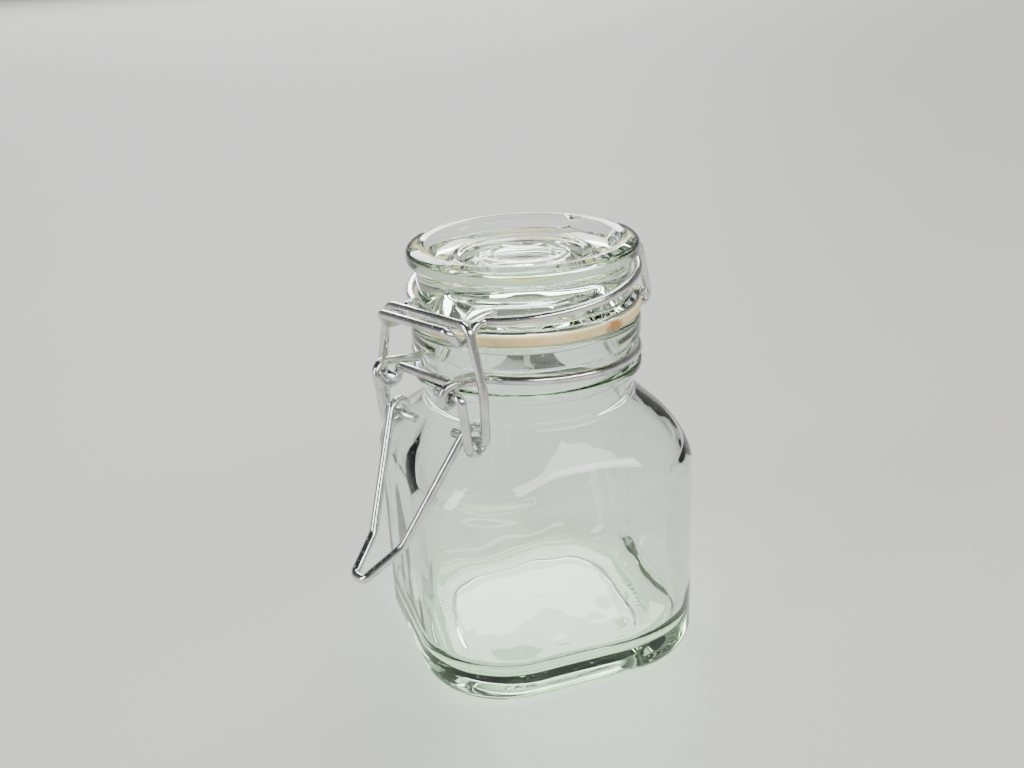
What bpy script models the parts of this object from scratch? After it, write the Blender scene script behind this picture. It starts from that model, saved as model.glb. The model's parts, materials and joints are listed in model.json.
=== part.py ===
"""Small square clip-top glass jar: two pressed glass pieces, a rubber ring and four bent wires.

Metres, +Z up. The origin is the middle of the flat base. The jar's flat sides face along X and Y.
The clip is modelled with its lever towards -Y and its hinge towards +Y, then turned about the neck.
"""

import math

import bmesh
import bpy
from mathutils import Vector

MM = 0.001

# Jar body
BODY_HALF_WIDTH = 28.5 * MM
BODY_CORNER_RADIUS = 17.3 * MM
HEEL_RADIUS = 5.2 * MM
SIDE_TOP = 42.1 * MM
SHOULDER_RADIUS = 9.5 * MM
SHOULDER_SLOPE = math.radians(50)
NECK_RADIUS = 20.7 * MM
NECK_FOOT = 54.3 * MM
BEAD_RADIUS = 22.5 * MM
BEAD_BOTTOM = 59.3 * MM
BEAD_TOP = 61.2 * MM
GROOVE_RADIUS = 20.6 * MM
FINISH_RADIUS = 22.35 * MM
FINISH_BOTTOM = 65.75 * MM
RIM_TOP = 70.4 * MM
MOUTH_RADIUS = 18.0 * MM
WALL = 2.7 * MM
FLOOR = 4.6 * MM
INNER_HEEL_RADIUS = 6.0 * MM
CORNER_STEPS = 10

# Rubber ring
GASKET_INNER_RADIUS = 17.7 * MM
GASKET_OUTER_RADIUS = 22.4 * MM
GASKET_BOTTOM = RIM_TOP + 0.25 * MM
GASKET_TOP = GASKET_BOTTOM + 1.8 * MM

# Lid
LID_BOTTOM = GASKET_TOP + 0.3 * MM
LID_TOP = 84.8 * MM
LID_RADIUS = 22.3 * MM
LID_WAIST_RADIUS = 20.6 * MM
BOSS_RADIUS = 17.2 * MM
BOSS_BOTTOM = 68.9 * MM
TURN_STEPS = 48

# Wires
WIRE_RADIUS = 0.875 * MM
CLIP_TURN = math.radians(26.4)
NECK_RING_RADIUS = 21.75 * MM
NECK_RING_HEIGHT = 63.5 * MM
NECK_RING_TILT = -0.045
LID_RING_RADIUS = 21.9 * MM
LID_RING_HEIGHT = 77.4 * MM
LID_RING_TILT = 0.1
EYE_RADIUS = 2.1 * MM
EYE_TURNS = 0.75
EYE_SHIFT = 2.0 * MM
LINK_EYE_RADIUS = 2.35 * MM
COIL_PITCH = 2.0 * MM

HOOK_RADIUS = 1.9 * MM

# Clip joints, each an axis along X in the clip's frame: (0, y, z)
PIVOT_AT = Vector((0, -28.6, 64.0)) * MM
LINK_AT = Vector((0, -25.3, 54.7)) * MM
HINGE_AT = Vector((0, 25.5, 68.9)) * MM

# Distances to each side of the clip's middle
EYE_SIDE = 9.45 * MM
NOSE_SIDE = 9.2 * MM
ARM_SIDE = 11.55 * MM
LINK_LEG_SIDE = 13.65 * MM
HINGE_HOOK_SIDE = 8.5 * MM
HINGE_ARM_SIDE = 5.6 * MM
HINGE_PIN_END = 10.1 * MM
PIN_END = 5.0 * MM

ARC_STEP = math.radians(24)


def clear_scene():
    for obj in list(bpy.data.objects):
        bpy.data.objects.remove(obj, do_unlink=True)


def material(name, color, roughness, metallic=0.0, transmission=0.0):
    result = bpy.data.materials.new(name)
    result.use_nodes = True
    shader = result.node_tree.nodes["Principled BSDF"]
    shader.inputs["Base Color"].default_value = color
    shader.inputs["Roughness"].default_value = roughness
    shader.inputs["Metallic"].default_value = metallic
    shader.inputs["Transmission Weight"].default_value = transmission
    return result


def add_object(name, data, surface, parent=None, location=(0, 0, 0)):
    obj = bpy.data.objects.new(name, data)
    data.materials.append(surface)
    bpy.context.scene.collection.objects.link(obj)
    obj.parent = parent
    obj.location = location
    return obj


def add_axis(name, parent=None, location=(0, 0, 0), turn=0.0):
    """An empty that stands on a joint's axis."""
    empty = bpy.data.objects.new(name, None)
    bpy.context.scene.collection.objects.link(empty)
    empty.parent = parent
    empty.location = location
    empty.rotation_euler.z = turn
    return empty


def arc(centre, radius, start, end, steps):
    """Points (across, up) on a circular arc, with angles in degrees from the outward direction."""
    points = []
    for step in range(steps + 1):
        angle = math.radians(start + (end - start) * step / steps)
        points.append((centre[0] + radius * math.cos(angle), centre[1] + radius * math.sin(angle)))
    return points


def rounded_square(half_width, corner_radius, height):
    """One level of the jar: a square whose corners are arcs, and a circle when they meet."""
    points = []
    offset = half_width - corner_radius
    for quarter in range(4):
        middle = math.radians(45 + 90 * quarter)
        centre = Vector((math.cos(middle), math.sin(middle))) * offset * math.sqrt(2)
        for step in range(CORNER_STEPS):
            angle = math.radians(90 * (quarter + (step + 0.5) / CORNER_STEPS))
            x = centre.x + corner_radius * math.cos(angle)
            y = centre.y + corner_radius * math.sin(angle)
            points.append((x, y, height))
    return points


def skin(levels, looped=False):
    """A closed mesh through a list of equal rings: capped at both ends, or looped back to the first."""
    mesh = bmesh.new()
    rings = [[mesh.verts.new(point) for point in level] for level in levels]
    pairs = list(zip(rings, rings[1:]))
    if looped:
        pairs.append((rings[-1], rings[0]))
    for lower, upper in pairs:
        for index, vert in enumerate(lower):
            beside = (index + 1) % len(lower)
            mesh.faces.new((vert, lower[beside], upper[beside], upper[index]))
    if not looped:
        mesh.faces.new(list(reversed(rings[0])))
        mesh.faces.new(rings[-1])
    bmesh.ops.recalc_face_normals(mesh, faces=mesh.faces)
    return mesh


def finished(mesh, name, sharp_degrees=40):
    data = bpy.data.meshes.new(name)
    mesh.to_mesh(data)
    mesh.free()
    data.shade_smooth()
    data.set_sharp_from_angle(angle=math.radians(sharp_degrees))
    return data


def circle(radius, height):
    """One level of a turned piece."""
    points = []
    for step in range(TURN_STEPS):
        angle = 2 * math.pi * step / TURN_STEPS
        points.append((radius * math.cos(angle), radius * math.sin(angle), height))
    return points


def jar_outside():
    """Levels (half width, corner radius, height) from the base up to the outer edge of the rim."""
    levels = []
    heel = BODY_HALF_WIDTH - HEEL_RADIUS
    for across, up in arc((heel, HEEL_RADIUS), HEEL_RADIUS, -90, 0, 5):
        levels.append((across, BODY_CORNER_RADIUS - (BODY_HALF_WIDTH - across), up))
    slope = math.degrees(SHOULDER_SLOPE)
    shoulder = arc((BODY_HALF_WIDTH - SHOULDER_RADIUS, SIDE_TOP), SHOULDER_RADIUS, 0, slope, 5)
    start, end = shoulder[-1], (NECK_RADIUS + 1.0 * MM, NECK_FOOT - 1.1 * MM)
    shoulder.append(((start[0] + end[0]) / 2, (start[1] + end[1]) / 2 + 0.2 * MM))
    shoulder.append(end)
    shoulder.append((NECK_RADIUS + 0.2 * MM, NECK_FOOT - 0.2 * MM))
    shoulder.append((NECK_RADIUS, NECK_FOOT + 0.8 * MM))
    for across, up in shoulder:
        rounding = min(1.0, (up - SIDE_TOP) / (NECK_FOOT - SIDE_TOP))
        corner = BODY_CORNER_RADIUS * (1 - rounding) + NECK_RADIUS * rounding
        levels.append((across, min(across, corner), up))
    neck = [
        (NECK_RADIUS, BEAD_BOTTOM - 0.4 * MM),
        (BEAD_RADIUS - 0.5 * MM, BEAD_BOTTOM),
        (BEAD_RADIUS, BEAD_BOTTOM + 0.7 * MM),
        (BEAD_RADIUS - 0.4 * MM, BEAD_TOP - 0.4 * MM),
        (GROOVE_RADIUS + 0.3 * MM, BEAD_TOP),
        (GROOVE_RADIUS, BEAD_TOP + 0.4 * MM),
        (GROOVE_RADIUS, FINISH_BOTTOM - 0.3 * MM),
        (GROOVE_RADIUS + 0.3 * MM, FINISH_BOTTOM),
        (FINISH_RADIUS - 0.5 * MM, FINISH_BOTTOM + 0.1 * MM),
        (FINISH_RADIUS, FINISH_BOTTOM + 0.7 * MM),
        (FINISH_RADIUS, RIM_TOP - 0.8 * MM),
        (FINISH_RADIUS - 0.25 * MM, RIM_TOP - 0.25 * MM),
        (FINISH_RADIUS - 0.8 * MM, RIM_TOP),
    ]
    levels += [(radius, radius, height) for radius, height in neck]
    return levels


def jar_inside():
    """Levels from the inner edge of the rim down to the floor."""
    levels = []
    neck = [
        (MOUTH_RADIUS + 0.8 * MM, RIM_TOP),
        (MOUTH_RADIUS + 0.2 * MM, RIM_TOP - 0.25 * MM),
        (MOUTH_RADIUS, RIM_TOP - 0.8 * MM),
        (MOUTH_RADIUS, NECK_FOOT + 1.5 * MM),
    ]
    levels += [(radius, radius, height) for radius, height in neck]
    half_width = BODY_HALF_WIDTH - WALL
    corner_radius = BODY_CORNER_RADIUS - WALL
    radius = SHOULDER_RADIUS - WALL
    slope = math.degrees(SHOULDER_SLOPE)
    shoulder = arc((half_width - radius, SIDE_TOP), radius, slope, 0, 4)
    end = (MOUTH_RADIUS + 0.8 * MM, NECK_FOOT - 0.6 * MM)
    start = shoulder[0]
    shoulder = [end, ((start[0] + end[0]) / 2, (start[1] + end[1]) / 2 + 0.2 * MM)] + shoulder
    for across, up in shoulder:
        rounding = min(1.0, (up - SIDE_TOP) / (end[1] - SIDE_TOP))
        corner = corner_radius * (1 - rounding) + end[0] * rounding
        levels.append((across, min(across, corner), up))
    heel = half_width - INNER_HEEL_RADIUS
    for across, up in arc((heel, FLOOR + INNER_HEEL_RADIUS), INNER_HEEL_RADIUS, 0, -90, 5):
        levels.append((across, corner_radius - (half_width - across), up))
    return levels


def make_jar_body(surface):
    levels = [rounded_square(*level) for level in jar_outside() + jar_inside()]
    return add_object("jar_body", finished(skin(levels), "jar_body"), surface)


def make_gasket(surface, parent):
    edge = 0.3 * MM
    profile = [
        (GASKET_INNER_RADIUS, GASKET_BOTTOM),
        (GASKET_OUTER_RADIUS - edge, GASKET_BOTTOM),
        (GASKET_OUTER_RADIUS, GASKET_BOTTOM + edge),
        (GASKET_OUTER_RADIUS, GASKET_TOP - edge),
        (GASKET_OUTER_RADIUS - edge, GASKET_TOP),
        (GASKET_INNER_RADIUS, GASKET_TOP),
    ]
    mesh = skin([circle(*level) for level in profile], looped=True)
    return add_object("gasket", finished(mesh, "gasket"), surface, parent)


def make_lid(surface, parent):
    """Pressed glass: from the hollow underneath, round the boss, flange, waist and crown, to the well."""
    profile = [
        (12.0 * MM, 76.2 * MM),
        (13.8 * MM, BOSS_BOTTOM + 0.4 * MM),
        (14.5 * MM, BOSS_BOTTOM),
        (BOSS_RADIUS - 0.6 * MM, BOSS_BOTTOM),
        (BOSS_RADIUS, BOSS_BOTTOM + 0.5 * MM),
        (BOSS_RADIUS, LID_BOTTOM),
        (21.9 * MM, LID_BOTTOM),
        (22.2 * MM, LID_BOTTOM + 0.2 * MM),
        (22.2 * MM, LID_BOTTOM + 0.85 * MM),
        (LID_WAIST_RADIUS, LID_BOTTOM + 1.45 * MM),
        (LID_WAIST_RADIUS, LID_TOP - 4.2 * MM),
        (21.6 * MM, LID_TOP - 3.1 * MM),
        (LID_RADIUS, LID_TOP - 1.9 * MM),
        (LID_RADIUS - 0.1 * MM, LID_TOP - 1.2 * MM),
        (21.2 * MM, LID_TOP - 0.3 * MM),
        (19.8 * MM, LID_TOP),
        (18.6 * MM, LID_TOP - 0.3 * MM),
        (16.2 * MM, LID_TOP - 2.5 * MM),
        (13.0 * MM, LID_TOP - 3.2 * MM),
        (12.0 * MM, LID_TOP - 2.8 * MM),
        (8.0 * MM, LID_TOP - 2.8 * MM),
        (7.0 * MM, LID_TOP - 3.2 * MM),
    ]
    mesh = skin([circle(*level) for level in profile])
    return add_object("lid", finished(mesh, "lid"), surface, parent)


def rounded(corners):
    """A smooth path through corners (point, radius): straight runs joined by arcs."""
    points = [Vector(corners[0][0])]
    for before, (corner, radius), after in zip(corners, corners[1:], corners[2:]):
        corner = Vector(corner)
        back = (Vector(before[0]) - corner).normalized()
        ahead = (Vector(after[0]) - corner).normalized()
        inside = back.angle(ahead)
        turn = math.pi - inside
        if radius <= 0 or turn < 0.02:
            points.append(corner)
            continue
        centre = corner + (back + ahead).normalized() * radius / math.sin(inside / 2)
        reach = radius / math.tan(inside / 2)
        first = corner + back * reach - centre
        last = corner + ahead * reach - centre
        steps = max(2, math.ceil(turn / ARC_STEP))
        for step in range(steps + 1):
            part = turn * step / steps
            points.append(centre + (first * math.sin(turn - part) + last * math.sin(part)) / math.sin(turn))
    points.append(Vector(corners[-1][0]))
    return points


def coil(centre, radius, start, end, side_start, side_end):
    """Points round a sideways axis. Angles are in degrees from the outward side, 90 is the top."""
    steps = max(1, math.ceil(abs(math.radians(end - start)) / ARC_STEP))
    points = []
    for step in range(steps + 1):
        part = step / steps
        angle = math.radians(start + (end - start) * part)
        across = side_start + (side_end - side_start) * part
        out = radius * math.cos(angle)
        points.append(Vector((across, centre.y - out, centre.z + radius * math.sin(angle))))
    return points


def ring_part(radius, height, tilt, start, end):
    """Points on a tilted ring about Z. Angles are in radians from the front towards +X."""
    steps = max(1, math.ceil(abs(end - start) / math.radians(9)))
    points = []
    for step in range(steps + 1):
        angle = start + (end - start) * step / steps
        y = -radius * math.cos(angle)
        points.append(Vector((radius * math.sin(angle), y, height + tilt * y)))
    return points


def mirrored(half):
    """A whole wire from its +X half, whose last point meets the middle plane or faces its mirror image."""
    other = [Vector((-point.x, point.y, point.z)) for point in reversed(half)]
    if abs(half[-1].x) < 1e-6:
        other = other[1:]
    return half + other


def wire(name, points, surface, parent, origin):
    """A round wire along the points, with flat ends and its object's origin at origin."""
    data = bpy.data.curves.new(name, "CURVE")
    data.dimensions = "3D"
    data.bevel_depth = WIRE_RADIUS
    data.bevel_resolution = 2
    data.use_fill_caps = True
    spline = data.splines.new("POLY")
    spline.points.add(len(points) - 1)
    for spot, point in zip(spline.points, points):
        spot.co = (*(point - origin), 1.0)
    return add_object(name, data, surface, parent, origin)


def at(side, out, up):
    """A point in the clip's frame, in millimetres: sideways, out towards the lever, and up."""
    return Vector((side, -out, up)) * MM


def make_neck_ring(surface, parent):
    """Ring in the neck groove, its two ends bent into hinge pins, its front wound into two eyes."""
    back = math.pi - math.asin(HINGE_ARM_SIDE / NECK_RING_RADIUS)
    front = math.asin(EYE_SIDE / NECK_RING_RADIUS)
    ring = ring_part(NECK_RING_RADIUS, NECK_RING_HEIGHT, NECK_RING_TILT, back, front)
    foot = Vector((HINGE_ARM_SIDE, HINGE_AT.y, ring[0].z))
    eye_top = PIVOT_AT + Vector((EYE_SIDE, 0, EYE_RADIUS))
    corners = [
        (HINGE_AT + Vector((HINGE_PIN_END, 0, 0)), 0),
        (HINGE_AT + Vector((HINGE_ARM_SIDE, 0, 0)), 1.6 * MM),
        (foot, 1.6 * MM),
        (ring[0], 1.5 * MM),
    ]
    corners += [(point, 0) for point in ring[1:-1]]
    corners += [(ring[-1], 1.5 * MM), (eye_top, 0)]
    eye = coil(PIVOT_AT, EYE_RADIUS, 90, 90 - 360 * EYE_TURNS, EYE_SIDE, EYE_SIDE - EYE_SHIFT)
    bar = eye[-1] + Vector((0, 0, 1.2 * MM))
    crossbar = rounded([(eye[-2], 0), (eye[-1], 0), (bar, 1.1 * MM), (bar - Vector((bar.x, 0, 0)), 0)])
    half = rounded(corners)[:-1] + eye + crossbar[2:]
    return wire("neck_ring", mirrored(half), surface, parent, Vector((0, 0, 0)))


def make_lid_ring(surface, parent):
    """Ring round the lid's waist: an open hook over each hinge pin, and a nose for the link."""
    back = math.pi - math.asin(HINGE_HOOK_SIDE / LID_RING_RADIUS)
    front = math.asin(NOSE_SIDE / LID_RING_RADIUS)
    ring = ring_part(LID_RING_RADIUS, LID_RING_HEIGHT, LID_RING_TILT, back, front)
    hook = coil(HINGE_AT, HOOK_RADIUS, 420, 163, HINGE_HOOK_SIDE, HINGE_HOOK_SIDE)
    corners = [
        (hook[-1], 0),
        (at(8.5, -24.6, 79.3), 1.5 * MM),
        (ring[0], 1.5 * MM),
    ]
    corners += [(point, 0) for point in ring[1:-1]]
    corners += [
        (ring[-1], 1.5 * MM),
        (at(9.2, 22.0, 75.2), 1.2 * MM),
        (at(9.2, 23.8, 73.0), 1.2 * MM),
        (at(9.2, 26.5, 73.0), 1.2 * MM),
        (at(9.2, 28.4, 75.6), 1.5 * MM),
        (at(0, 28.4, 75.6), 0),
    ]
    half = hook[:-1] + rounded(corners)
    return wire("lid_ring", mirrored(half), surface, parent, HINGE_AT)


def make_lever(surface, parent):
    """Bail that closes the jar: pins in the eyes, an eye for the link in each leg, and a finger tip."""
    inner_side = ARM_SIDE - COIL_PITCH * 324 / 360
    outer = coil(LINK_AT, LINK_EYE_RADIUS, -6, -330, ARM_SIDE, inner_side)
    arm = rounded(
        [
            (PIVOT_AT + Vector((PIN_END, 0, 0)), 0),
            (PIVOT_AT + Vector((ARM_SIDE, 0, 0)), 1.4 * MM),
            (outer[0], 0),
        ]
    )
    leg = rounded(
        [
            (outer[-1], 0),
            (at(4.15, 38.5, 36.4), 4.0 * MM),
            (at(1.45, 45.8, 31.9), 1.35 * MM),
            (at(0, 45.8, 31.9), 0),
        ]
    )
    half = arm[:-1] + outer + leg[1:]
    return wire("lever", mirrored(half), surface, parent, PIVOT_AT)


def make_clamp_link(surface, parent):
    """Loop from the lever's eyes up to the bar that lies in the lid ring's nose."""
    half = rounded(
        [
            (LINK_AT + Vector((PIN_END, 0, 0)), 0),
            (LINK_AT + Vector((LINK_LEG_SIDE, 0, 0)), 1.4 * MM),
            (at(13.65, 25.2, 64.5), 6.0 * MM),
            (at(10.7, 25.1, 76.1), 2.5 * MM),
            (at(0, 25.1, 76.1), 0),
        ]
    )
    return wire("clamp_link", mirrored(half), surface, parent, LINK_AT)


def build():
    clear_scene()
    glass = material("clear_glass", (0.86, 0.93, 0.89, 1.0), 0.03, transmission=1.0)
    rubber = material("cream_rubber", (0.82, 0.76, 0.62, 1.0), 0.6)
    steel = material("plated_wire", (0.72, 0.72, 0.70, 1.0), 0.28, metallic=1.0)
    make_jar_body(glass)
    clip = add_axis("clip_turn", None, (0, 0, 0), CLIP_TURN)
    make_neck_ring(steel, clip)
    make_lid_ring(steel, clip)
    make_lid(glass, clip)
    make_gasket(rubber, clip)
    make_lever(steel, clip)
    make_clamp_link(steel, clip)


build()
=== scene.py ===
# %% [markdown]
# # A small clip-top glass jar
#
# The real jar is two pressed glass pieces, one rubber ring and four bent wires. The solids of the
# frame fix where everything is and how it moves. This script gives each of them a finer skin and a
# finish, and it never moves the frame itself.

import json
import math

import bmesh
import bpy
from mathutils import Matrix, Vector, noise


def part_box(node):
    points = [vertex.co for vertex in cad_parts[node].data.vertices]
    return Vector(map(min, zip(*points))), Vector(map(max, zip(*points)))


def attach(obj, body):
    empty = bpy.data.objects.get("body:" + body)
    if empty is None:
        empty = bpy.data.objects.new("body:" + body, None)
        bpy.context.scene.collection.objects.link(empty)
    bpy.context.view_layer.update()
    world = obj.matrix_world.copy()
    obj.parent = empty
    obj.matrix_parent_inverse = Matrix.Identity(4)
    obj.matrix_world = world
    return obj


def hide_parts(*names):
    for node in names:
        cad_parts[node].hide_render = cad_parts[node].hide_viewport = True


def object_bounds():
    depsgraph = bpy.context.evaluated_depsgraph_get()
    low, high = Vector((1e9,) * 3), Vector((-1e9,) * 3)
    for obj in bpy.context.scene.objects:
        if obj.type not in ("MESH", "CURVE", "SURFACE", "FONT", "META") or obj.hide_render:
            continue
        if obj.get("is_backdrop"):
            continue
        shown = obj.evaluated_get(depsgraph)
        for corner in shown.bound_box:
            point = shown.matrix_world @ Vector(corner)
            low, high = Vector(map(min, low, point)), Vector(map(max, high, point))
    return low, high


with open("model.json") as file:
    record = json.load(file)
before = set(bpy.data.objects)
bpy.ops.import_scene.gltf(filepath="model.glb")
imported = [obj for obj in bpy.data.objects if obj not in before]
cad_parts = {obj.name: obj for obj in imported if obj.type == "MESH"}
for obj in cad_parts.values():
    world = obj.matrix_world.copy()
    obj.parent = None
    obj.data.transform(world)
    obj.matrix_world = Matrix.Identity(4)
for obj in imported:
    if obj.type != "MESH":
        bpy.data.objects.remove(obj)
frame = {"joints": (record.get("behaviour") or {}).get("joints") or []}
cad_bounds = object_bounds()
scene = bpy.context.scene

# %% [markdown]
# ## Where things are
#
# Every place below comes from the frame: the boxes of its solids, and its joints. The wire clip can
# stand at any angle on the round neck, so its pieces are drawn in the clip's own frame, with the
# lever towards -Y and the hinge towards +Y, and turned to the angle the lever's joint stands at.

# %% Measure the frame
MM = 0.001
JOINTS = {joint["name"]: Vector(joint["pos_m"]) for joint in frame["joints"]}
PIVOT_POINT = JOINTS["lever_swing"]
CLIP_TURN = math.atan2(PIVOT_POINT.x, -PIVOT_POINT.y)
CLIP_FRAME = Matrix.Rotation(CLIP_TURN, 4, "Z")
RIM_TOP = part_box("jar_body")[1].z
GASKET_LOW, GASKET_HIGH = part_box("gasket")
LID_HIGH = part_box("lid")[1]
print("clip turned", round(math.degrees(CLIP_TURN), 1), "degrees")
print("rim at", round(RIM_TOP / MM, 1), "mm")


def in_clip_frame(point):
    """A joint's point as the clip's own frame has it, in the clip's middle plane."""
    turned = CLIP_FRAME.inverted() @ point
    return Vector((0, turned.y, turned.z))


PIVOT_AT = in_clip_frame(PIVOT_POINT)
LINK_AT = in_clip_frame(JOINTS["link_swing"])
HINGE_AT = in_clip_frame(JOINTS["lid_hinge"])
print("hinge", [round(x / MM, 1) for x in HINGE_AT], "mm in the clip's frame")

# %% [markdown]
# ## Writing shader maths as arithmetic
#
# A shader is a web of nodes, and sums drawn as a web are hard to read. This class wraps one output
# and answers to Python's operators by adding the Math node that does the sum.


# %% Wrap a shader value
class Reading:
    """One number on its way through a shader."""

    def __init__(self, finish, socket):
        self.finish = finish
        self.socket = socket

    def maths(self, operation, first, second):
        values = {0: first, 1: second}
        node = self.finish.node("ShaderNodeMath", {"operation": operation}, values)
        return Reading(self.finish, node.outputs[0])

    def __add__(self, other):
        return self.maths("ADD", self, other)

    def __radd__(self, other):
        return self.maths("ADD", other, self)

    def __sub__(self, other):
        return self.maths("SUBTRACT", self, other)

    def __rsub__(self, other):
        return self.maths("SUBTRACT", other, self)

    def __mul__(self, other):
        return self.maths("MULTIPLY", self, other)

    def __rmul__(self, other):
        return self.maths("MULTIPLY", other, self)

    def between(self, low, high):
        """0 below low, 1 above high, and a smooth rise between them."""
        settings = {"interpolation_type": "SMOOTHSTEP"}
        values = {"Value": self, "From Min": low, "From Max": high}
        node = self.finish.node("ShaderNodeMapRange", settings, values)
        return Reading(self.finish, node.outputs[0])


# %% [markdown]
# A finish is one material with a Principled shader in it. Any node comes from `node`: its type, its
# settings, and what goes into its sockets. Colours are mixed by a Mix node, because a Math node
# would turn them grey.


# %% Wrap a material
class Finish:
    """One material, its Principled shader, and the means to add nodes to it."""

    def __init__(self, name):
        self.material = bpy.data.materials.new(name)
        self.material.use_nodes = True
        self.tree = self.material.node_tree
        self.shader = self.tree.nodes["Principled BSDF"]
        self.output = self.tree.nodes["Material Output"]
        self.place = Reading(self, self.node("ShaderNodeTexCoord").outputs["Object"])

    def node(self, kind, settings=None, values=None):
        node = self.tree.nodes.new(kind)
        for key, setting in (settings or {}).items():
            setattr(node, key, setting)
        self.fill(node, values or {})
        return node

    def fill(self, node, values):
        """Sets or links a node's inputs, by name or by number."""
        for key, value in values.items():
            if isinstance(value, Reading):
                self.tree.links.new(value.socket, node.inputs[key])
            else:
                node.inputs[key].default_value = value

    def noise(self, per_metre, detail=3.0, stretch=(1, 1, 1)):
        """Cloudy noise from 0 to 1, with so many lumps to the metre."""
        mapping = self.node("ShaderNodeMapping", None, {"Vector": self.place, "Scale": stretch})
        values = {"Vector": Reading(self, mapping.outputs[0]), "Scale": per_metre, "Detail": detail}
        return Reading(self, self.node("ShaderNodeTexNoise", None, values).outputs[0])

    def colours(self, share, plain, other):
        """The plain colour where share is 0 and the other where it is 1."""
        values = {0: share, 6: plain, 7: other}
        node = self.node("ShaderNodeMix", {"data_type": "RGBA"}, values)
        return Reading(self, node.outputs[2])

    def bump(self, height, depth, strength=1.0):
        """A normal from a height of 0 to 1 that stands for depth metres."""
        values = {"Height": height, "Distance": depth, "Strength": strength}
        return Reading(self, self.node("ShaderNodeBump", None, values).outputs[0])

    def set(self, **values):
        """Fills the Principled shader's own inputs. An underscore stands for a space."""
        self.fill(self.shader, {key.replace("_", " "): value for key, value in values.items()})


print("shader helpers ready")

# %% [markdown]
# ## Clear pressed glass
#
# Soda glass is clear when thin and faintly green when light has gone far through it, as at the
# heel and the rim. That green belongs in the volume and not on the surface, so the solid gets an
# absorption of its own. Pressed glass is never quite flat: a slow ripple from the mould bends what
# is seen through it. Handling leaves faint greasy patches and a few specks, which only change the
# roughness.
# A transparent stand-in lets lamps shine through, so the glass throws a light shadow and not a
# black one.


# %% Make the glass
GLASS_INDEX = 1.51
BOTTLE_GREEN = (0.60, 0.89, 0.56, 1)
LAMP_SHADOW = (0.86, 0.90, 0.87, 1)


def make_glass(name, ripple_per_metre, ripple_depth, tint_density):
    glass = Finish(name)
    smears = glass.noise(70, 4.0).between(0.52, 0.72)
    streaks = glass.noise(420, 2.0, (1, 1, 0.15)).between(0.6, 0.8)
    ripple = glass.noise(ripple_per_metre, 1.5)
    specks = glass.noise(1300, 1.0).between(0.745, 0.775)
    glass.set(
        Base_Color=(0.985, 0.995, 0.988, 1),
        Roughness=0.004 + smears * 0.035 + streaks * smears * 0.05 + specks * 0.45,
        Transmission_Weight=1.0,
        IOR=GLASS_INDEX,
        Normal=glass.bump(ripple, ripple_depth),
    )
    tint = {"Color": BOTTLE_GREEN, "Density": tint_density}
    volume = glass.node("ShaderNodeVolumeAbsorption", None, tint)
    glass.tree.links.new(volume.outputs[0], glass.output.inputs["Volume"])
    through = glass.node("ShaderNodeBsdfTransparent", None, {"Color": LAMP_SHADOW})
    lamp_ray = glass.node("ShaderNodeLightPath").outputs["Is Shadow Ray"]
    both = glass.node("ShaderNodeMixShader", None, {0: Reading(glass, lamp_ray)})
    glass.tree.links.new(glass.shader.outputs[0], both.inputs[1])
    glass.tree.links.new(through.outputs[0], both.inputs[2])
    glass.tree.links.new(both.outputs[0], glass.output.inputs["Surface"])
    return glass.material


BODY_GLASS = make_glass("clear_body_glass", 55, 0.00025, 44.0)
LID_GLASS = make_glass("clear_lid_glass", 90, 0.00012, 18.0)
print("glass made:", BODY_GLASS.name, LID_GLASS.name)

# %% [markdown]
# ## Cream rubber
#
# The seal is matt natural rubber, a little mottled and gone yellow, with one small rusty stain on
# its edge. The stain is a soft blot round one point, broken up by noise so that its edge is ragged.

# %% Make the rubber
STAIN_AT = Vector((0.0199, 0.0102, 0.0716))
STAIN_FADE_PER_METRE = 260
rubber = Finish("cream_rubber")
stain_ends = {0: rubber.place, 1: STAIN_AT}
from_stain = rubber.node("ShaderNodeVectorMath", {"operation": "DISTANCE"}, stain_ends)
nearness = 1 - Reading(rubber, from_stain.outputs["Value"]) * STAIN_FADE_PER_METRE
stain = (nearness + rubber.noise(900, 4.0) * 0.9).between(0.75, 1.15)
mottle = rubber.noise(260, 5.0).between(0.35, 0.7)
cream = rubber.colours(mottle, (0.75, 0.55, 0.24, 1), (0.83, 0.67, 0.36, 1))
grain = rubber.noise(4200, 3.0)
rubber.set(
    Base_Color=rubber.colours(stain, cream, (0.42, 0.20, 0.07, 1)),
    Roughness=0.52 + mottle * 0.16,
    Normal=rubber.bump(grain, 0.00004),
)
RUBBER = rubber.material
print("rubber made:", RUBBER.name)

# %% [markdown]
# ## Plated wire
#
# The wire is steel with a bright plating. It is drawn through a die, which leaves lines along it,
# and the plating has dulled in patches and gone brownish where it was bent and handled.

# %% Make the plating
plating = Finish("plated_wire")
dull = plating.noise(240, 4.0).between(0.45, 0.7)
brown = plating.noise(130, 5.0).between(0.60, 0.74)
pits = plating.noise(2600, 2.0).between(0.66, 0.74)
silver = plating.colours(dull, (0.70, 0.71, 0.70, 1), (0.52, 0.52, 0.50, 1))
plating.set(
    Base_Color=plating.colours(brown * 0.6, silver, (0.36, 0.27, 0.20, 1)),
    Metallic=1.0,
    Roughness=0.13 + dull * 0.14 + pits * 0.15,
    Normal=plating.bump(plating.noise(1500, 3.0) - pits * 0.8, 0.00003),
)
PLATING = plating.material
print("plating made:", PLATING.name)

# %% [markdown]
# ## Skins from rings
#
# A pressed glass piece is a stack of closed outlines: circles for the lid, and squares with round
# corners for the body. Boxes with bevels could make the body, but not its slow change from square
# to round at the shoulder, so each level is drawn as an outline of the same number of points and a
# skin is laid through them.


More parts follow.
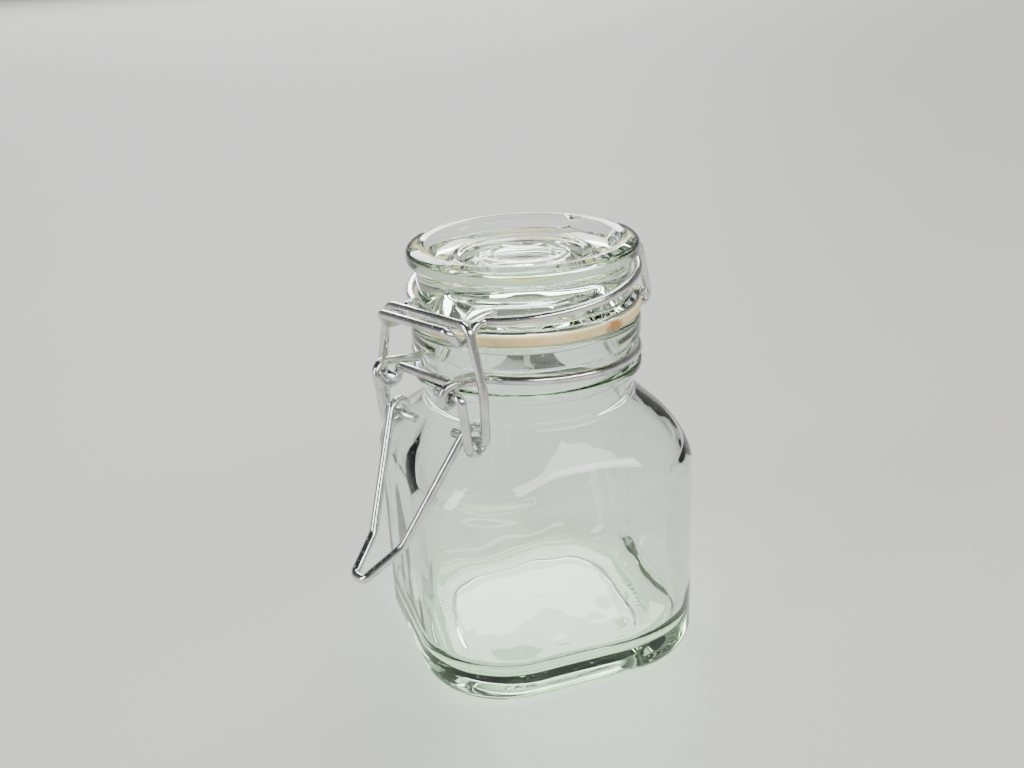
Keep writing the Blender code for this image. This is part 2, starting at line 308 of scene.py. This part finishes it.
# %% Round the corners of a path
def rounded(corners, degrees=7.5):
    """A path through corners (x, y, z, radius) in millimetres, in straight runs joined by arcs."""
    spots = [Vector(corner[:3]) * MM for corner in corners]
    path = [spots[0]]
    for before, spot, after, corner in zip(spots, spots[1:], spots[2:], corners[1:]):
        back, ahead = (before - spot).normalized(), (after - spot).normalized()
        inside = back.angle(ahead)
        turn = math.pi - inside
        if corner[3] <= 0 or turn < 0.02:
            path.append(spot)
            continue
        radius = corner[3] * MM
        centre = spot + (back + ahead).normalized() * radius / math.sin(inside / 2)
        reach = radius / math.tan(inside / 2)
        first, last = spot + back * reach - centre, spot + ahead * reach - centre
        steps = max(2, math.ceil(math.degrees(turn) / degrees))
        for step in range(steps + 1):
            part = turn * step / steps
            swung = first * math.sin(turn - part) + last * math.sin(part)
            path.append(centre + swung / math.sin(turn))
    return path + [spots[-1]]


def rounded_profile(corners, longest=3.0):
    """The same for a profile (across, up, radius), with long runs cut into shorter ones."""
    path = rounded([(across, 0, up, radius) for across, up, radius in corners], 9)
    profile = [path[0]]
    for start, end in zip(path, path[1:]):
        cuts = max(1, math.ceil((end - start).length / (longest * MM)))
        profile += [start.lerp(end, (cut + 1) / cuts) for cut in range(cuts)]
    return [(point.x, point.z) for point in profile]


print("rounded a right angle into", len(rounded([(0, 0, 0, 0), (9, 0, 0, 2), (9, 9, 0, 0)])), "points")


# %% Lay a skin through rings
SAME_POINT = 0.002 * MM


def skin(name, rings, finish, looped=False):
    """A smooth closed mesh through rings with equal numbers of points."""
    mesh = bmesh.new()
    rows = [[mesh.verts.new(point) for point in ring] for ring in rings]
    pairs = list(zip(rows, rows[1:]))
    if looped:
        pairs.append((rows[-1], rows[0]))
    else:
        mesh.faces.new(list(reversed(rows[0])))
        mesh.faces.new(rows[-1])
    for lower, upper in pairs:
        for index in range(len(lower)):
            beside = (index + 1) % len(lower)
            mesh.faces.new((lower[index], lower[beside], upper[beside], upper[index]))
    bmesh.ops.remove_doubles(mesh, verts=mesh.verts, dist=SAME_POINT)
    bmesh.ops.recalc_face_normals(mesh, faces=mesh.faces)
    data = bpy.data.meshes.new(name)
    mesh.to_mesh(data)
    mesh.free()
    data.shade_smooth()
    data.materials.append(finish)
    piece = bpy.data.objects.new(name, data)
    scene.collection.objects.link(piece)
    print(name, "has", len(data.polygons), "faces")
    return piece


def circle(radius, height, steps=144):
    angles = [2 * math.pi * step / steps for step in range(steps)]
    return [Vector((radius * math.cos(angle), radius * math.sin(angle), height)) for angle in angles]


# %% [markdown]
# ## The jar's body
#
# The body is a square with large round corners, and the neck is round. Between them, on the
# shoulder, the corner radius grows until the corners meet. Going round each level, a corner gets
# many points and a flat side a few, and on the round neck the flat sides shrink to nothing.

# %% Draw one level of the body
CORNER_POINTS = 36
SIDE_POINTS = 28
HALF_WIDTH = 28.5 * MM
CORNER_RADIUS = 17.3 * MM
SHOULDER_START = 42.1 * MM
NECK_START = 54.0 * MM


def square_ring(half_width, corner_radius, height):
    points = []
    corner_radius = min(corner_radius, half_width)
    offset = half_width - corner_radius
    for quarter in range(4):
        turn = Matrix.Rotation(math.pi / 2 * quarter, 3, "Z")
        for step in range(CORNER_POINTS + 1):
            angle = math.pi / 2 * step / CORNER_POINTS
            x, y = offset + corner_radius * math.cos(angle), offset + corner_radius * math.sin(angle)
            points.append(turn @ Vector((x, y, height)))
        for step in range(1, SIDE_POINTS):
            along = offset * (1 - 2 * step / SIDE_POINTS)
            points.append(turn @ Vector((along, half_width, height)))
    return points


def corner_at(half_width, height, wall):
    """The corner radius of a level, from the square body to the round neck."""
    if height < SHOULDER_START:
        return max(CORNER_RADIUS - (HALF_WIDTH - half_width), half_width * 0.6)
    rounding = min(1.0, (height - SHOULDER_START) / (NECK_START - SHOULDER_START))
    return (CORNER_RADIUS - wall) * (1 - rounding) + half_width * rounding


print("one level has", len(square_ring(HALF_WIDTH, CORNER_RADIUS, 0)), "points")

# %% [markdown]
# The outside runs from a shallow hollow under the base, over a ring of small ridges that the hot
# glass first stood on, up the heel, side and shoulder to a bead, a groove for the neck wire and
# the rim. The inside was formed by air and not by the mould, so it is less even: slow noise
# moves it in and out by a quarter of a millimetre, which is what bends the view through the sides.

# %% Skin the body
OUTSIDE = [
    (0.3, 1.25, 0),
    (17.4, 1.05, 1.2),
    (18.7, 0.0, 0.5),
    (28.5, 0.0, 5.2),
    (28.5, 46.5, 9.5),
    (20.7, 54.0, 2.0),
    (20.7, 59.3, 0.5),
    (22.5, 59.3, 0.8),
    (22.5, 61.2, 0.8),
    (20.6, 61.2, 0.5),
    (20.6, 65.75, 0.5),
    (22.35, 65.75, 0.8),
    (22.35, 70.4, 1.1),
    (18.0, 70.4, 1.1),
]
INSIDE = [
    (19.6, 70.4, 0),
    (18.0, 70.4, 1.1),
    (18.0, 54.4, 2.2),
    (25.8, 45.3, 6.8),
    (25.8, 4.6, 6.0),
    (0.3, 4.5, 0),
]
WALL = 2.7 * MM
RIDGE = 0.4 * MM
BEARING_INNER, BEARING_OUTER = 19.8 * MM, 22.4 * MM
UNDERSIDE = 0.02 * MM
OUTSIDE_EVEN, INSIDE_UNEVEN = 0.04 * MM, 0.28 * MM


def uneven(point, amount):
    """The point moved sideways a little, by slow noise, and not at all near the neck."""
    fade = max(0.0, min(1.0, (52 * MM - point.z) / (12 * MM)))
    push = noise.noise(point * 75) + 0.4 * noise.noise(point * 190)
    flat = Vector((point.x, point.y, 0))
    if flat.length < 1 * MM:
        return point
    return point + flat.normalized() * push * amount * fade


def body_rings():
    rings = []
    for half_width, height in rounded_profile(OUTSIDE)[:-1]:
        level = square_ring(half_width, corner_at(half_width, height, 0), height)
        if height < UNDERSIDE and BEARING_INNER < half_width < BEARING_OUTER:
            level = [
                point + Vector((0, 0, RIDGE * (index % 2))) for index, point in enumerate(level)
            ]
        rings.append([uneven(point, OUTSIDE_EVEN) for point in level])
    for half_width, height in rounded_profile(INSIDE)[1:]:
        level = square_ring(half_width, corner_at(half_width, height, WALL), height)
        rings.append([uneven(point, INSIDE_UNEVEN) for point in level])
    return rings


jar_glass = skin("jar_glass", body_rings(), BODY_GLASS)
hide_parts("jar_body")
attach(jar_glass, "jar")

# %% [markdown]
# ## The lid
#
# The lid is a thick pressed disc. Its crown is a round lip with a well inside it, and the well has
# raised rings that only show as lines of light. Below the lip is the waist that the wire sits in,
# then a flange that presses on the rubber, and a boss that drops into the neck. The underside is
# hollow. It is round everywhere, so one profile is spun into circles.

# %% Skin the lid
FLANGE = LID_HIGH.z / MM - 12.05
CROWN = LID_HIGH.z / MM
LID_PROFILE = [
    (0.3, 76.6, 0),
    (9.8, 76.2, 2.2),
    (13.5, 69.6, 1.2),
    (14.2, 68.9, 0.5),
    (17.15, 68.9, 0.7),
    (17.15, FLANGE, 0.3),
    (22.2, FLANGE, 0.35),
    (22.2, FLANGE + 1.0, 0.35),
    (20.6, FLANGE + 1.5, 0.6),
    (20.6, CROWN - 4.2, 0.7),
    (22.3, CROWN - 2.9, 1.0),
    (22.3, CROWN - 0.6, 1.2),
    (19.9, CROWN, 1.3),
    (18.6, CROWN - 0.3, 0.8),
    (16.6, CROWN - 2.5, 0.9),
    (14.0, CROWN - 3.1, 0.5),
    (13.3, CROWN - 2.6, 0.35),
    (12.4, CROWN - 2.6, 0.35),
    (11.8, CROWN - 3.1, 0.4),
    (9.0, CROWN - 3.1, 0.4),
    (8.3, CROWN - 2.65, 0.35),
    (6.2, CROWN - 2.6, 0.4),
    (5.4, CROWN - 3.05, 0.4),
    (0.3, CROWN - 3.1, 0),
]


def spun(profile):
    return [circle(radius, height) for radius, height in rounded_profile(profile)]


lid_glass = skin("lid_glass", spun(LID_PROFILE), LID_GLASS)
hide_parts("lid")
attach(lid_glass, "lid_glass")

# %% [markdown]
# ## The rubber ring
#
# It is a flat washer with softly rounded edges, a hair narrower than the rim it lies on. Its
# thickness swells and thins a little on the way round, as old rubber does.

# %% Skin the rubber ring
INNER, OUTER = 17.7, GASKET_HIGH.x / MM
LOW, HIGH = GASKET_LOW.z / MM, GASKET_HIGH.z / MM
GASKET_PROFILE = [
    (20.0, LOW, 0),
    (OUTER, LOW, 0.5),
    (OUTER, HIGH, 0.5),
    (INNER, HIGH, 0.4),
    (INNER, LOW, 0.4),
    (20.1, LOW, 0),
]


def swelling(point):
    outward = Vector((point.x, point.y, 0)).normalized()
    return point + outward * noise.noise(point * 160) * 0.12 * MM


gasket_rings = [[swelling(point) for point in ring] for ring in spun(GASKET_PROFILE)]
rubber_ring = skin("rubber_ring", gasket_rings, RUBBER, looped=True)
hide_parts("gasket")
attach(rubber_ring, "lid_glass")

# %% [markdown]
# ## Bent wires
#
# Each wire is one length of round steel, so it is drawn as a path and a skin of circles along it.
# A bevelled curve gives the same tube, but its circles can twist and its ends stay sharp. Here the
# circle is carried along without twisting, and the cut ends get the small burr-free chamfer that
# the real ones have. Coordinates in the clip's frame are sideways, out from the jar, and up.

# %% Draw a wire
WIRE_RADIUS = 0.875
WIRE_SIDES = 16
CHAMFER = 0.22


def at(side, out, up, bend=0.0):
    """A corner in the clip's frame, in millimetres, with the radius of its bend."""
    return (side, -out, up, bend)


def in_mm(point, bend=0.0):
    """A point in metres as a corner in millimetres."""
    return (point.x / MM, point.y / MM, point.z / MM, bend)


def chamfered(path):
    """Each point with its wire radius: narrower at the two ends."""
    first = (path[1] - path[0]).normalized() * CHAMFER * MM
    last = (path[-2] - path[-1]).normalized() * CHAMFER * MM
    full, narrow = WIRE_RADIUS * MM, (WIRE_RADIUS - CHAMFER) * MM
    start = [(path[0], narrow), (path[0] + first, full)]
    end = [(path[-1] + last, full), (path[-1], narrow)]
    return start + [(point, full) for point in path[1:-1]] + end


def wire(name, path, node, body):
    """A chamfered wire along the path, standing for a node and riding with a body."""
    spots = chamfered([CLIP_FRAME @ point for point in path])
    points = [point for point, _ in spots]
    rings = []
    across = (points[1] - points[0]).orthogonal().normalized()
    for index, (point, radius) in enumerate(spots):
        ahead = points[min(index + 1, len(points) - 1)] - point
        behind = point - points[max(index - 1, 0)]
        along = (ahead.normalized() + behind.normalized()).normalized()
        across = (across - along * across.dot(along)).normalized()
        beside = along.cross(across)
        ring = []
        for step in range(WIRE_SIDES):
            angle = 2 * math.pi * step / WIRE_SIDES
            ring.append(point + (across * math.cos(angle) + beside * math.sin(angle)) * radius)
        rings.append(ring)
    piece = skin(name, rings, PLATING)
    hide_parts(node)
    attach(piece, body)
    return piece


def mirrored(half):
    """The whole path from its +X half, whose last point is in the middle plane."""
    return half + [Vector((-point.x, point.y, point.z)) for point in reversed(half[:-1])]


# %% [markdown]
# Two shapes repeat in the wires: coils wound round a sideways axis, which are the eyes and hooks,
# and tilted rings round the neck and the lid.


# %% Draw coils and rings
RING_STEPS = 40


def coil(centre, radius, start, end, side_start, side_end, degrees=11.0):
    """Points from start to end, in degrees from the outward side, with 90 at the top."""
    steps = math.ceil(abs(end - start) / degrees)
    points = []
    for step in range(steps + 1):
        part = step / steps
        angle = math.radians(start + (end - start) * part)
        side = side_start + (side_end - side_start) * part
        out, up = radius * MM * math.cos(angle), radius * MM * math.sin(angle)
        points.append(Vector((side * MM, centre.y - out, centre.z + up)))
    return points


def ring_corners(radius, height, tilt, back_side, front_side, bend):
    """Corners on a tilted ring, from the back towards the front, with bends at its two ends."""
    start, end = math.pi - math.asin(back_side / radius), math.asin(front_side / radius)
    steps = RING_STEPS
    corners = []
    for step in range(steps + 1):
        angle = start + (end - start) * step / steps
        y = -radius * math.cos(angle)
        corners.append((radius * math.sin(angle), y, height + tilt * y, 0.0))
    first, last = (*corners[0][:3], bend), (*corners[-1][:3], bend)
    return [first] + corners[2:-2] + [last]


print("a full coil has", len(coil(PIVOT_AT, 1.95, 0, 360, 0, 0)) - 1, "steps")

# %% [markdown]
# ### The neck ring
#
# Its two ends are the hinge pins at the back. It goes round the groove, winds an eye on each side
# of the front, and crosses between the eyes as a bar.

# %% Bend the neck ring
EYE = 2.1
EYE_SIDE, EYE_TURNS, EYE_SHIFT = 9.45, 0.75, 2.0
HINGE_BACK, HINGE_UP = HINGE_AT.y / MM, HINGE_AT.z / MM
neck_line = ring_corners(21.75, 63.5, -0.045, 5.6, EYE_SIDE, 1.5)
eye = coil(PIVOT_AT, EYE, 90, 90 - 360 * EYE_TURNS, EYE_SIDE, EYE_SIDE - EYE_SHIFT)
neck_path = rounded(
    [
        at(10.1, -HINGE_BACK, HINGE_UP),
        at(5.6, -HINGE_BACK, HINGE_UP, 1.6),
        at(5.6, -HINGE_BACK, neck_line[0][2], 1.6),
        *neck_line,
        in_mm(eye[0]),
    ]
)
bar_up = eye[-1] + Vector((0, 0, 1.2 * MM))
crossbar = rounded([in_mm(eye[-1]), in_mm(bar_up, 1.1), (0, bar_up.y / MM, bar_up.z / MM, 0)])
wire("neck_wire_skin", mirrored(neck_path[:-1] + eye[:-1] + crossbar), "neck_ring", "neck_wire")

# %% [markdown]
# ### The lid ring
#
# It hooks over the two pins, climbs the back, rings the lid's waist, and leaves the front as a
# nose: two side wires that dip, to make a pocket for the link, and a bar that joins them.

# %% Bend the lid ring
hook = coil(HINGE_AT, 1.9, 420, 163, 8.5, 8.5)
lid_path = rounded(
    [
        in_mm(hook[-1]),
        at(8.5, -24.6, 79.3, 1.5),
        *ring_corners(21.9, 77.4, 0.1, 8.5, 9.2, 1.5),
        at(9.2, 22.0, 75.2, 1.2),
        at(9.2, 23.8, 73.0, 1.2),
        at(9.2, 26.5, 73.0, 1.2),
        at(9.2, 28.4, 75.6, 1.5),
        at(0, 28.4, 75.6),
    ]
)
wire("lid_wire_skin", mirrored(hook[:-1] + lid_path), "lid_ring", "lid_wire")

# %% [markdown]
# ### The lever
#
# Its ends are pins that turn in the neck ring's eyes. Each leg winds one eye for the link and then
# runs out to a bend and in to the narrow tip that a finger lifts.

# %% Bend the lever
ARM_SIDE = 11.55
COIL_PITCH = 2.0
LINK_EYE = 2.35
link_eye = coil(LINK_AT, LINK_EYE, -6, -330, ARM_SIDE, ARM_SIDE - COIL_PITCH * 324 / 360)
pin_end = PIVOT_AT + Vector((5.0 * MM, 0, 0))
pin_bend = PIVOT_AT + Vector((ARM_SIDE * MM, 0, 0))
arm = rounded([in_mm(pin_end), in_mm(pin_bend, 1.4), in_mm(link_eye[0])])
leg = rounded(
    [
        in_mm(link_eye[-1]),
        at(4.15, 38.5, 36.4, 4.0),
        at(1.45, 45.8, 31.9, 1.35),
        at(0, 45.8, 31.9),
    ]
)
wire("lever_skin", mirrored(arm[:-1] + link_eye + leg[1:]), "lever", "lever_wire")

# %% [markdown]
# ### The clamp link
#
# A loop whose ends turn in the lever's eyes and whose bar lies in the pocket of the nose.

# %% Bend the clamp link
link_path = rounded(
    [
        in_mm(LINK_AT + Vector((5.0 * MM, 0, 0))),
        in_mm(LINK_AT + Vector((13.65 * MM, 0, 0)), 1.4),
        at(13.65, 25.2, 64.5, 6.0),
        at(10.7, 25.1, 76.1, 2.5),
        at(0, 25.1, 76.1),
    ]
)
wire("clamp_link_skin", mirrored(link_path), "clamp_link", "link_wire")

# %% [markdown]
# ## Floor, light and camera
#
# Glass shows what is round it, so plain soft light is most of its look: a pale floor to see
# through it, one large soft lamp above and behind to draw the bright lines of the rim and
# shoulder, and smaller ones at the sides. The sky is a mid grey, darker overhead, which gives clear
# glass its dark edges.

# %% Lay the floor
floor = Finish("pale_floor")
cloud = floor.noise(9, 4.0)
speck = floor.noise(900, 2.0).between(0.35, 0.75)
floor.set(
    Base_Color=floor.colours(cloud * 0.5 + speck * 0.3, (0.60, 0.59, 0.575, 1), (0.66, 0.655, 0.645, 1)),
    Roughness=0.55 + cloud * 0.1,
)
bpy.ops.mesh.primitive_circle_add(vertices=96, radius=6, fill_type="NGON", location=(0, 0, 0))
floor_disc = bpy.context.object
floor_disc.name = "floor"
floor_disc.data.materials.append(floor.material)
floor_disc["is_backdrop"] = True
print("floor laid at the jar's base")


# %% Hang the lamps
def softbox(name, place, size, power, colour=(1, 1, 1)):
    data = bpy.data.lights.new(name, "AREA")
    data.shape = "RECTANGLE"
    data.size, data.size_y = size
    data.energy = power
    data.color = colour
    lamp = bpy.data.objects.new(name, data)
    lamp.location = place
    aim = Vector((0, 0, 0.04)) - Vector(place)
    lamp.rotation_euler = aim.to_track_quat("-Z", "Y").to_euler()
    scene.collection.objects.link(lamp)


softbox("lamp_front", (0.85, 0.36, 0.78), (1.3, 0.3), 13.0, (1.0, 0.985, 0.96))
softbox("lamp_back", (-3.2, 0.5, 1.7), (2.6, 1.1), 110.0)
softbox("lamp_left", (0.2, -0.9, 0.45), (0.22, 0.7), 6.0, (0.96, 0.98, 1.0))
daylight = bpy.data.lights.new("daylight", "SUN")
daylight.energy = 1.6
daylight.angle = math.radians(30)
daylight_lamp = bpy.data.objects.new("daylight", daylight)
daylight_lamp.rotation_euler = Vector((0.3, -0.4, -1)).to_track_quat("-Z", "Y").to_euler()
scene.collection.objects.link(daylight_lamp)

world = bpy.data.worlds.new("studio")
scene.world = world
world.use_nodes = True
sky = world.node_tree.nodes["Background"]
up = world.node_tree.nodes.new("ShaderNodeSeparateXYZ")
direction = world.node_tree.nodes.new("ShaderNodeTexCoord")
ramp = world.node_tree.nodes.new("ShaderNodeValToRGB")
ramp.color_ramp.elements[0].color = (0.42, 0.42, 0.42, 1)
ramp.color_ramp.elements[0].position = 0.0
ramp.color_ramp.elements[1].color = (0.05, 0.05, 0.055, 1)
ramp.color_ramp.elements[1].position = 0.75
world.node_tree.links.new(direction.outputs["Generated"], up.inputs[0])
world.node_tree.links.new(up.outputs["Z"], ramp.inputs[0])
world.node_tree.links.new(ramp.outputs[0], sky.inputs["Color"])
sky.inputs["Strength"].default_value = 1.0

# %% [markdown]
# Light crosses up to a dozen faces of glass on its way through the lid, the neck and both sides,
# so rays are allowed more turns than usual before they are dropped as black.

# %% Stand the camera
LIGHT_TURNS = 24
scene.cycles.max_bounces = LIGHT_TURNS
scene.cycles.transmission_bounces = LIGHT_TURNS
scene.cycles.transparent_max_bounces = 16
CAMERA_AT = Vector((0.19576, -0.06842, 0.13896))
AZIMUTH, ELEVATION, ROLL = math.radians(71.64), math.radians(22.06), math.radians(-2.84)
camera_data = bpy.data.cameras.new("camera")
camera_data.sensor_width = 36
camera_data.lens = 39.46
camera_data.clip_start = 0.01
camera = bpy.data.objects.new("camera", camera_data)
back = Vector(
    (
        math.sin(AZIMUTH) * math.cos(ELEVATION),
        -math.cos(AZIMUTH) * math.cos(ELEVATION),
        math.sin(ELEVATION),
    )
)
right = Vector((math.cos(AZIMUTH), math.sin(AZIMUTH), 0))
upward = back.cross(right)
rolled_right = right * math.cos(ROLL) + upward * math.sin(ROLL)
rolled_up = back.cross(rolled_right)
aimed = Matrix((rolled_right, rolled_up, back)).transposed().to_4x4()
camera.matrix_world = Matrix.Translation(CAMERA_AT) @ aimed
scene.collection.objects.link(camera)
scene.camera = camera
print("camera stands", round(camera.location.length, 3), "m from the base's middle")

# %% Finish
visual_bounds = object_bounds()
sizes = {"cad": [list(corner) for corner in cad_bounds], "visual": [list(corner) for corner in visual_bounds]}
for key, (low, high) in sizes.items():
    print(key, "size in mm:", [round((end - start) / MM, 1) for start, end in zip(low, high)])
